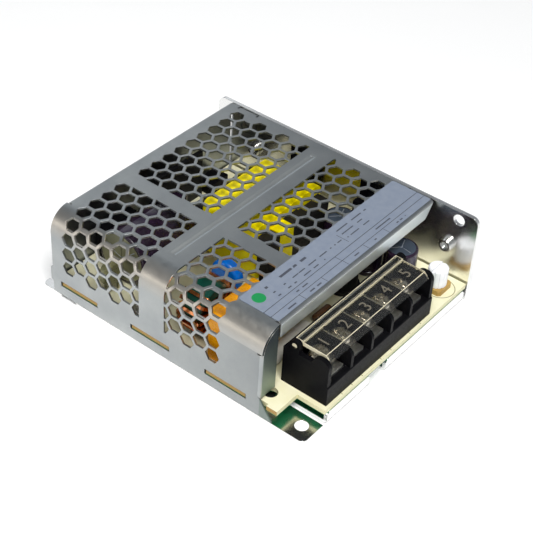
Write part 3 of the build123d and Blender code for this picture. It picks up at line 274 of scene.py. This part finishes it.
def sheet_metal(name, colour, dark, rough, grain, edge):
    """Rolled sheet: cloudy tone, fine grain along the rolling direction and soft edges."""
    look = Look(name, colour, rough, 1.0).soft_edges(edge)
    look.mottle(0.09, 4, dark)
    look.tint(look.times(look.span(look.noise(2.5, 5), 0.4, 0.7), 0.25), dark)
    look.dull(0.6, 5, rough * 1.25)
    look.bump(look.noise(6.0, 4, stretch=grain), 0.004, 0.5)
    return look


def cover_zinc():
    """Zinc coated sheet, duller on the faces that were folded in. Painted light: a warm reflection along the
    roll, a reflection darkening up the folded-in flange, shade on the left wall towards the front, paler
    front faces and a highlight beside the bead.
    """
    look = sheet_metal("cover_zinc", (0.42, 0.44, 0.44), (0.34, 0.36, 0.37), 0.34, (0.15, 1, 1), 0.2)
    # Painted warm reflection along the roll of the bend.
    roll = look.times(look.span(look.x, *ROLL_REFLECTION_ACROSS), look.span(look.z, *ROLL_REFLECTION_DOWN))
    look.tint(look.times(roll, 0.5), (0.54, 0.47, 0.38))
    face = look.below(look.y, COVER_FACE)
    inward = look.times(face, look.below(look.x, ROLL))
    # Painted reflection on the folded-in flange, greenish low down and dark towards the top.
    look.tint(inward, look.mix(look.span(look.z, *FLANGE_REFLECTION), (0.27, 0.33, 0.29), (0.07, 0.085, 0.095)))
    look.roughen(inward, 0.5)
    # Painted shade on the left wall, darker towards the front.
    wall = look.times(look.below(look.x, WALL_FACE), look.span(look.y, *WALL_PAINTED_SHADE))
    look.tint(look.times(wall, 0.5), (0.20, 0.215, 0.22))
    # Painted reflection: the cover's front faces beyond the roll are painted paler.
    look.tint(look.times(face, look.above(look.x, ROLL)), (0.72, 0.78, 0.80))
    left, right = BEAD_ENDS
    # Painted highlight along one edge of the pressed bead on the roof.
    rim = look.times(look.near(look.y, BEAD_HIGHLIGHT, HIGHLIGHT_HALF), look.between(look.x, left, right),
                     look.above(look.z, ROOF_TOP - ROOF_SKIN))
    look.tint(look.times(rim, 0.5), (0.58, 0.64, 0.68))
    pressed = look.times(look.near(look.y, BEAD_LINE, BEAD_HALF), look.between(look.x, left - 1, right + 1))
    look.roughen(pressed, 0.55)
    return look


def moulded(name, colour, rough, dark, texture=0.01, **settings):
    """Moulded plastic with a fine matt texture and faint handling marks."""
    look = Look(name, colour, rough, **settings).soft_edges(0.12)
    look.mottle(0.35, 4, dark)
    look.dull(1.2, 4, min(1.0, rough * 1.3), 0.35, 0.65)
    look.bump(look.noise(9.0, 3), texture, 0.5)
    return look


def plated(name, colour, dark, rough=0.22):
    """Plated small steel parts, a little dull in the hollows."""
    look = Look(name, colour, rough, 1.0).soft_edges(0.1)
    look.mottle(1.1, 4, dark)
    look.dull(3.0, 4, rough * 1.6)
    look.bump(look.noise(7.0, 3), 0.006, 0.5)
    return look


def label_film():
    """Printed film: a ruled table, short bars in place of words, and a plain green spot."""
    look = Look("label_film", (0.215, 0.25, 0.315), 0.42)
    look.mottle(0.5, 4, (0.19, 0.225, 0.295))
    columns = [(x - COLUMN_HALF, x + COLUMN_HALF, *COLUMN_ENDS) for x in LABEL_COLUMNS]
    ruled = look.any_of([look.rect(*edges) for edges in (*LABEL_LINES, *columns)])
    dashes = look.above(look.noise(0.55, 0.0, stretch=(1.0, 0.12, 0.0)), 0.44)
    bars = []
    for x0, x1, y0, y1 in LABEL_BARS:
        bare = BAR_MARGIN * (y1 - y0)
        bars.append(look.rect(x0, x1, y0 + bare, y1 - bare))
    look.tint(look.times(ruled, 0.9), (0.012, 0.012, 0.02))
    look.tint(look.times(look.any_of(bars), dashes, 0.8), (0.015, 0.015, 0.025))
    look.tint(look.below(look.radius(*SPOT), SPOT_RADIUS), (0.0, 0.24, 0.06))
    look.bump(look.noise(5.0, 3), 0.003, 0.4)
    return look


def board_laminate():
    """Cream printed side above, green solder side below, glassy yellow edges between."""
    look = Look("board_laminate", (0.86, 0.83, 0.60), 0.4)
    look.mottle(0.25, 4, (0.82, 0.78, 0.52))
    ring = look.near(look.radius(*TRIMMER_RING), RING_RADIUS, RING_HALF)
    ticks = [look.rect(x, x + 0.25, 0.35, 1.0) for x in TICKS]
    marks = [look.rect(*edges) for edges in BOARD_MARKS]
    look.tint(look.times(look.any_of([ring, *ticks, *marks]), 0.8), (0.16, 0.15, 0.05))
    edge = look.below(look.z, BOARD_TOP - BOARD_SKIN)
    streaks = look.span(look.noise(3.0, 3, stretch=(1, 1, 6)), 0.35, 0.65)
    look.tint(edge, look.mix(streaks, (0.66, 0.62, 0.36), (0.74, 0.71, 0.46)))
    # Painted shade: the board's edge is darker brown where its tabs sit in the wall slots.
    tab_shade = look.times(edge, look.below(look.x, TAB_END))
    look.tint(tab_shade, look.mix(streaks, (0.26, 0.14, 0.02), (0.44, 0.27, 0.05)))
    green = look.mix(look.span(look.noise(0.8, 4), 0.4, 0.6), (0.0, 0.20, 0.07), (0.01, 0.29, 0.11))
    look.tint(look.below(look.z, BOARD_UNDER + SOLDER_SKIN), green)
    look.bump(look.noise(4.0, 3), 0.004, 0.4)
    return look


def score_marks(look, u, v, reach):
    """Three shallow cuts that meet in the middle of a can's end."""
    cuts = []
    for turn in CUT_TURNS:
        angle = math.radians(turn + CUT_START)
        c, s = math.cos(angle), math.sin(angle)
        along = look.math("ADD", look.times(u, c), look.times(v, s))
        across = look.math("SUBTRACT", look.times(v, c), look.times(u, s))
        cuts.append(look.times(look.between(along, 0.0, reach), look.near(across, 0.0, CUT_HALF)))
    return look.any_of(cuts)


def sleeved(name):
    """Shrunk dark sleeve of a can."""
    look = Look(name, (0.012, 0.005, 0.014), 0.25, Coat_Weight=0.2)
    look.mottle(0.5, 4, (0.026, 0.012, 0.032))
    return look


def can_end(look, u, v, end, reach, stripe, metal):
    """Pale stripe down the sleeve, and the scored bare metal of the can's end."""
    bare = look.times(end, look.below(look.length(u, v), reach))
    cuts = look.times(bare, score_marks(look, u, v, reach * 0.85))
    look.tint(look.times(stripe, look.rest(end), 0.12), (0.30, 0.28, 0.42))
    look.tint(bare, metal)
    look.tint(cuts, (0.55, 0.60, 0.68))
    look.link(look.times(bare, 0.7), look.shader.inputs["Metallic"])
    look.roughen(bare, 0.35)
    look.bump(look.noise(3.0, 3), 0.01, 0.4)
    look.bump(look.rest(cuts), 0.15)
    return look


def can_sleeve():
    """Upright cans in a row."""
    look = sleeved("can_sleeve")
    u = look.math("SUBTRACT", look.x, CAN_MIDDLE)
    row = look.math("MODULO", look.math("SUBTRACT", look.y, CAN_FIRST - CAN_PITCH / 2), CAN_PITCH)
    v = look.math("SUBTRACT", row, CAN_PITCH / 2)
    stripe = look.times(look.between(u, -2.0, 1.0), look.below(v, 0.0))
    end = look.above(look.z, BOARD_TOP + CAN_RIM_HEIGHT)
    return can_end(look, u, v, end, CAN_BARE, stripe, (0.13, 0.17, 0.23))


def bulk_sleeve():
    """The large can, lying with its end to the left wall."""
    look = sleeved("bulk_sleeve")
    u = look.math("SUBTRACT", look.y, BULK_MIDDLE)
    v = look.math("SUBTRACT", look.z, BULK_HEIGHT)
    stripe = look.times(look.between(u, -1.5, 1.5), look.above(v, 0.0))
    return can_end(look, u, v, look.below(look.x, BULK_RIM), BULK_BARE, stripe, (0.30, 0.30, 0.20))


def clear_plastic():
    """Clear moulding, with painted warm highlights along its thick edges, where less light goes through."""
    look = Look("clear_plastic", (0.93, 0.90, 0.82), 0.05, Transmission_Weight=1.0, IOR=1.5)
    look.mottle(0.4, 3, (0.86, 0.82, 0.70), 0.3, 0.7)
    ribs = [look.between(look.y, *rib) for rib in FLAP_RIBS]
    ends = [look.below(look.x, FLAP_ENDS[0]), look.above(look.x, FLAP_ENDS[1])]
    # Painted warm highlights on the ribs and ends of the flap.
    edges = look.times(look.any_of(ribs + ends), look.above(look.z, FLAP_SKIN))
    look.tint(look.times(edges, 0.75), (0.80, 0.72, 0.48))
    look.link(look.rest(look.times(edges, 0.8)), look.shader.inputs["Transmission Weight"])
    look.dull(1.5, 4, 0.12, 0.4, 0.65)
    look.bump(look.noise(0.8, 3), 0.01, 0.35)
    return look


def copper_wire():
    """Enamelled winding wire."""
    look = Look("copper_wire", (0.90, 0.33, 0.11), 0.24, 1.0, Coat_Weight=0.8)
    look.mottle(0.8, 3, (0.48, 0.13, 0.03))
    look.bump(look.noise(4.0, 3), 0.01, 0.4)
    return look


def taped():
    """Yellow film tape in overlapping turns, with creases."""
    look = Look("tape_yellow", (1.0, 0.86, 0.0), 0.3, Specular_IOR_Level=0.3)
    look.mottle(0.5, 4, (0.95, 0.74, 0.0), 0.4, 0.75)
    look.bump(look.noise(0.9, 5, stretch=(1, 1, 3), distortion=1.5), 0.08, 0.6)
    return look


def brass_pillar():
    """Turned brass with faint rings."""
    look = Look("pillar_brass", (0.72, 0.52, 0.22), 0.25, 1.0).soft_edges(0.1)
    look.mottle(1.5, 3, (0.56, 0.38, 0.14))
    look.bump(look.noise(8.0, 3, stretch=(1, 1, 4)), 0.006, 0.5)
    return look


def threaded():
    """Turned bush with its thread cut inside and a grooved rim."""
    look = Look("bush_plated", (0.82, 0.82, 0.80), 0.18, 1.0).soft_edges(0.12)
    look.mottle(2.0, 4, (0.62, 0.62, 0.60))
    turns = look.math("SINE", look.times(look.x, 2 * math.pi / THREAD_PITCH))
    look.bump(turns, 0.12, 0.7)
    return look


looks = {
    "chassis_aluminium": sheet_metal("chassis_aluminium", (0.88, 0.88, 0.87), (0.80, 0.80, 0.79), 0.19,
                                     (1, 0.1, 1), 0.18),
    "cover_zinc": cover_zinc(),
    "label_film": label_film(),
    "insulation_film": moulded("insulation_film", (0.02, 0.02, 0.02), 0.4, (0.03, 0.03, 0.03)),
    "board_laminate": board_laminate(),
    "steel_plated": plated("steel_plated", (0.74, 0.72, 0.68), (0.58, 0.55, 0.50)),
    "pillar_brass": brass_pillar(),
    "block_plastic": moulded("block_plastic", (0.005, 0.005, 0.006), 0.34, (0.003, 0.003, 0.004), 0.012,
                             Specular_IOR_Level=0.05),
    "plate_black": moulded("plate_black", (0.006, 0.006, 0.007), 0.4, (0.010, 0.010, 0.011), 0.01,
                           Specular_IOR_Level=0.15),
    "clear_plastic": clear_plastic(),
    "contact_tin": plated("contact_tin", (0.80, 0.80, 0.76), (0.66, 0.65, 0.60), 0.28),
    "knob_white": moulded("knob_white", (0.90, 0.91, 0.93), 0.30, (0.84, 0.85, 0.88)),
    "trimmer_brown": moulded("trimmer_brown", (0.48, 0.30, 0.08), 0.4, (0.36, 0.22, 0.05)),
    "lamp_green": moulded("lamp_green", (0.01, 0.42, 0.08), 0.12, (0.0, 0.30, 0.05), 0.004,
                          Transmission_Weight=0.35),
    "can_sleeve": can_sleeve(),
    "ferrite": moulded("ferrite", (0.010, 0.010, 0.010), 0.5, (0.020, 0.018, 0.017), 0.03,
                       Specular_IOR_Level=0.2),
    "tape_yellow": taped(),
    "copper_wire": copper_wire(),
    "box_orange": moulded("box_orange", (0.98, 0.42, 0.0), 0.25, (0.90, 0.33, 0.0)),
    "disc_blue": moulded("disc_blue", (0.0, 0.20, 0.78), 0.15, (0.0, 0.13, 0.60), 0.01, Coat_Weight=0.5),
    "disc_olive": moulded("disc_olive", (0.22, 0.21, 0.10), 0.25, (0.15, 0.15, 0.07), 0.01),
    "dip_brown": moulded("dip_brown", (0.20, 0.09, 0.035), 0.3, (0.13, 0.055, 0.02), 0.012),
    "fuse_body": moulded("fuse_body", (0.80, 0.78, 0.70), 0.2, (0.70, 0.68, 0.58)),
}
own_looks = {
    "bulk_capacitor": bulk_sleeve(),
    "side_bosses": threaded(),
    "choke_core": moulded("core_green", (0.0, 0.075, 0.05), 0.3, (0.0, 0.04, 0.028), 0.01),
}
SMOOTH_ANGLE = math.radians(30)


def dress(piece, look):
    """Give a piece its material, and smooth shading up to the sharp edges."""
    piece.data.materials.clear()
    piece.data.materials.append(look.material)
    piece.data.shade_smooth()
    piece.data.set_sharp_from_angle(angle=SMOOTH_ANGLE)


for name, piece in nodes.items():
    dress(piece, own_looks.get(name, looks[slots[name]]))


# Pieces finer than the solids

def added(name, data):
    """Put a mesh into the scene as an object of its own."""
    piece = bpy.data.objects.new(name, data)
    bpy.context.collection.objects.link(piece)
    return piece


def mesh_data(name, mesh):
    data = bpy.data.meshes.new(name)
    mesh.to_mesh(data)
    mesh.free()
    return data


def digit_data(digit):
    """Mesh of one raised character, its foot at the origin."""
    curve = bpy.data.curves.new("digit_" + digit, "FONT")
    curve.body = digit
    curve.size = DIGIT_SIZE * FONT_SHARE * MM
    curve.extrude = DIGIT_RAISE * MM
    curve.align_x = "CENTER"
    curve.resolution_u = 6
    text = added("digit_" + digit, curve)
    bpy.context.view_layer.update()
    data = bpy.data.meshes.new_from_object(text.evaluated_get(bpy.context.evaluated_depsgraph_get()))
    bpy.data.objects.remove(text)
    return data


def numerals():
    """The terminal numbers, raised on the clear cover."""
    raised = Look("numeral_relief", (0.30, 0.27, 0.21), 0.25, Transmission_Weight=0.45, Coat_Weight=0.3)
    raised.mottle(2.0, 3, (0.20, 0.18, 0.13))
    for digit, x in zip(DIGITS, DIGIT_PLACES):
        data = digit_data(digit)
        data.transform(Matrix.Translation(place(x, DIGIT_LINE - DIGIT_SIZE / 2, DIGIT_HEIGHT)))
        piece = added("terminal_number_" + digit, data)
        dress(piece, raised)
        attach(piece, "terminal_flap")


def glue_beads():
    """Lumps of cream silicone that hold the tall parts."""
    look = moulded("glue_cream", (0.90, 0.89, 0.68), 0.35, (0.84, 0.82, 0.56), 0.02)
    for number, (middle, radii) in enumerate(GLUE, start=1):
        mesh = bmesh.new()
        bmesh.ops.create_icosphere(mesh, subdivisions=4, radius=1.0)
        for vertex in mesh.verts:
            x, y, z = vertex.co
            swell = 1 + 0.12 * math.sin(4.1 * x + number) * math.sin(3.3 * y - number)
            swell += 0.06 * math.sin(7 * z)
            height = max(middle[2] + radii[2] * z * swell, BOARD_TOP + 0.01)
            vertex.co = place(middle[0] + radii[0] * x * swell, middle[1] + radii[1] * y * swell, height)
        name = "glue_bead_%d" % number
        piece = added(name, mesh_data(name, mesh))
        dress(piece, look)
        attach(piece, "case")


numerals()
glue_beads()


# Studio

def floor():
    """Wide pale floor, just below the case."""
    mesh = bmesh.new()
    bmesh.ops.create_grid(mesh, x_segments=2, y_segments=2, size=3.0)
    data = mesh_data("studio_floor", mesh)
    piece = added("studio_floor", data)
    look = Look("studio_floor", (0.93, 0.93, 0.93), 0.7, Emission_Color=(1, 1, 1, 1), Emission_Strength=0.08)
    look.mottle(0.01, 2, (0.92, 0.92, 0.92), 0.4, 0.6)
    data.materials.append(look.material)
    piece.location.z = -0.02 * MM


def softbox(name, where, aim, size, power, colour):
    """Square or oblong area light that faces a point."""
    light = bpy.data.lights.new(name, "AREA")
    light.shape = "RECTANGLE"
    light.size, light.size_y = size
    light.energy = power
    light.color = colour
    lamp = added(name, light)
    lamp.location = where
    lamp.rotation_euler = (Vector(aim) - Vector(where)).to_track_quat("-Z", "Y").to_euler()


def sky(horizon, zenith):
    """Soft light from all round, darker overhead."""
    world = bpy.data.worlds.new("studio")
    bpy.context.scene.world = world
    world.use_nodes = True
    tree = world.node_tree
    coordinates = tree.nodes.new("ShaderNodeTexCoord")
    split = tree.nodes.new("ShaderNodeSeparateXYZ")
    ramp = tree.nodes.new("ShaderNodeValToRGB")
    tree.links.new(coordinates.outputs["Generated"], split.inputs[0])
    tree.links.new(split.outputs[2], ramp.inputs[0])
    ramp.color_ramp.elements[0].color = (*horizon, 1)
    ramp.color_ramp.elements[1].color = (*zenith, 1)
    background = tree.nodes["Background"]
    tree.links.new(ramp.outputs[0], background.inputs["Color"])
    background.inputs["Strength"].default_value = 1.0


# Camera fitted to the photograph: its place in metres, its own axes, and its lens in millimetres
EYE = (-0.2461, -0.1856, 0.2634)
RIGHT = (0.6262, -0.7781, 0.0487)
UP = (0.4717, 0.4278, 0.7710)
BACK = (-0.6207, -0.4599, 0.6350)
LENS, SENSOR = 90.3, 36.0


def camera():
    """Camera at the photograph's viewing angle."""
    data = bpy.data.cameras.new("camera")
    data.lens = LENS
    data.sensor_width = SENSOR
    data.clip_start = 0.01
    piece = added("camera", data)
    axes = Matrix((RIGHT, UP, BACK)).transposed()
    piece.matrix_world = Matrix.Translation(EYE) @ axes.to_quaternion().to_matrix().to_4x4()
    bpy.context.scene.camera = piece


floor()
sky((0.50, 0.52, 0.55), (0.10, 0.11, 0.12))
softbox("key", (-0.30, -0.30, 0.80), (0, 0, 0), (0.4, 0.4), 9.0, (1.0, 0.99, 0.97))
softbox("left", (-0.70, 0.45, 0.20), (0, 0, 0.02), (0.5, 0.22), 0.7, (1.0, 0.95, 0.88))
softbox("back", (0.35, 0.7, 0.5), (0, 0, 0), (0.7, 0.3), 0.6, (0.95, 0.98, 1.0))
camera()
bpy.context.scene.view_settings.view_transform = "Standard"
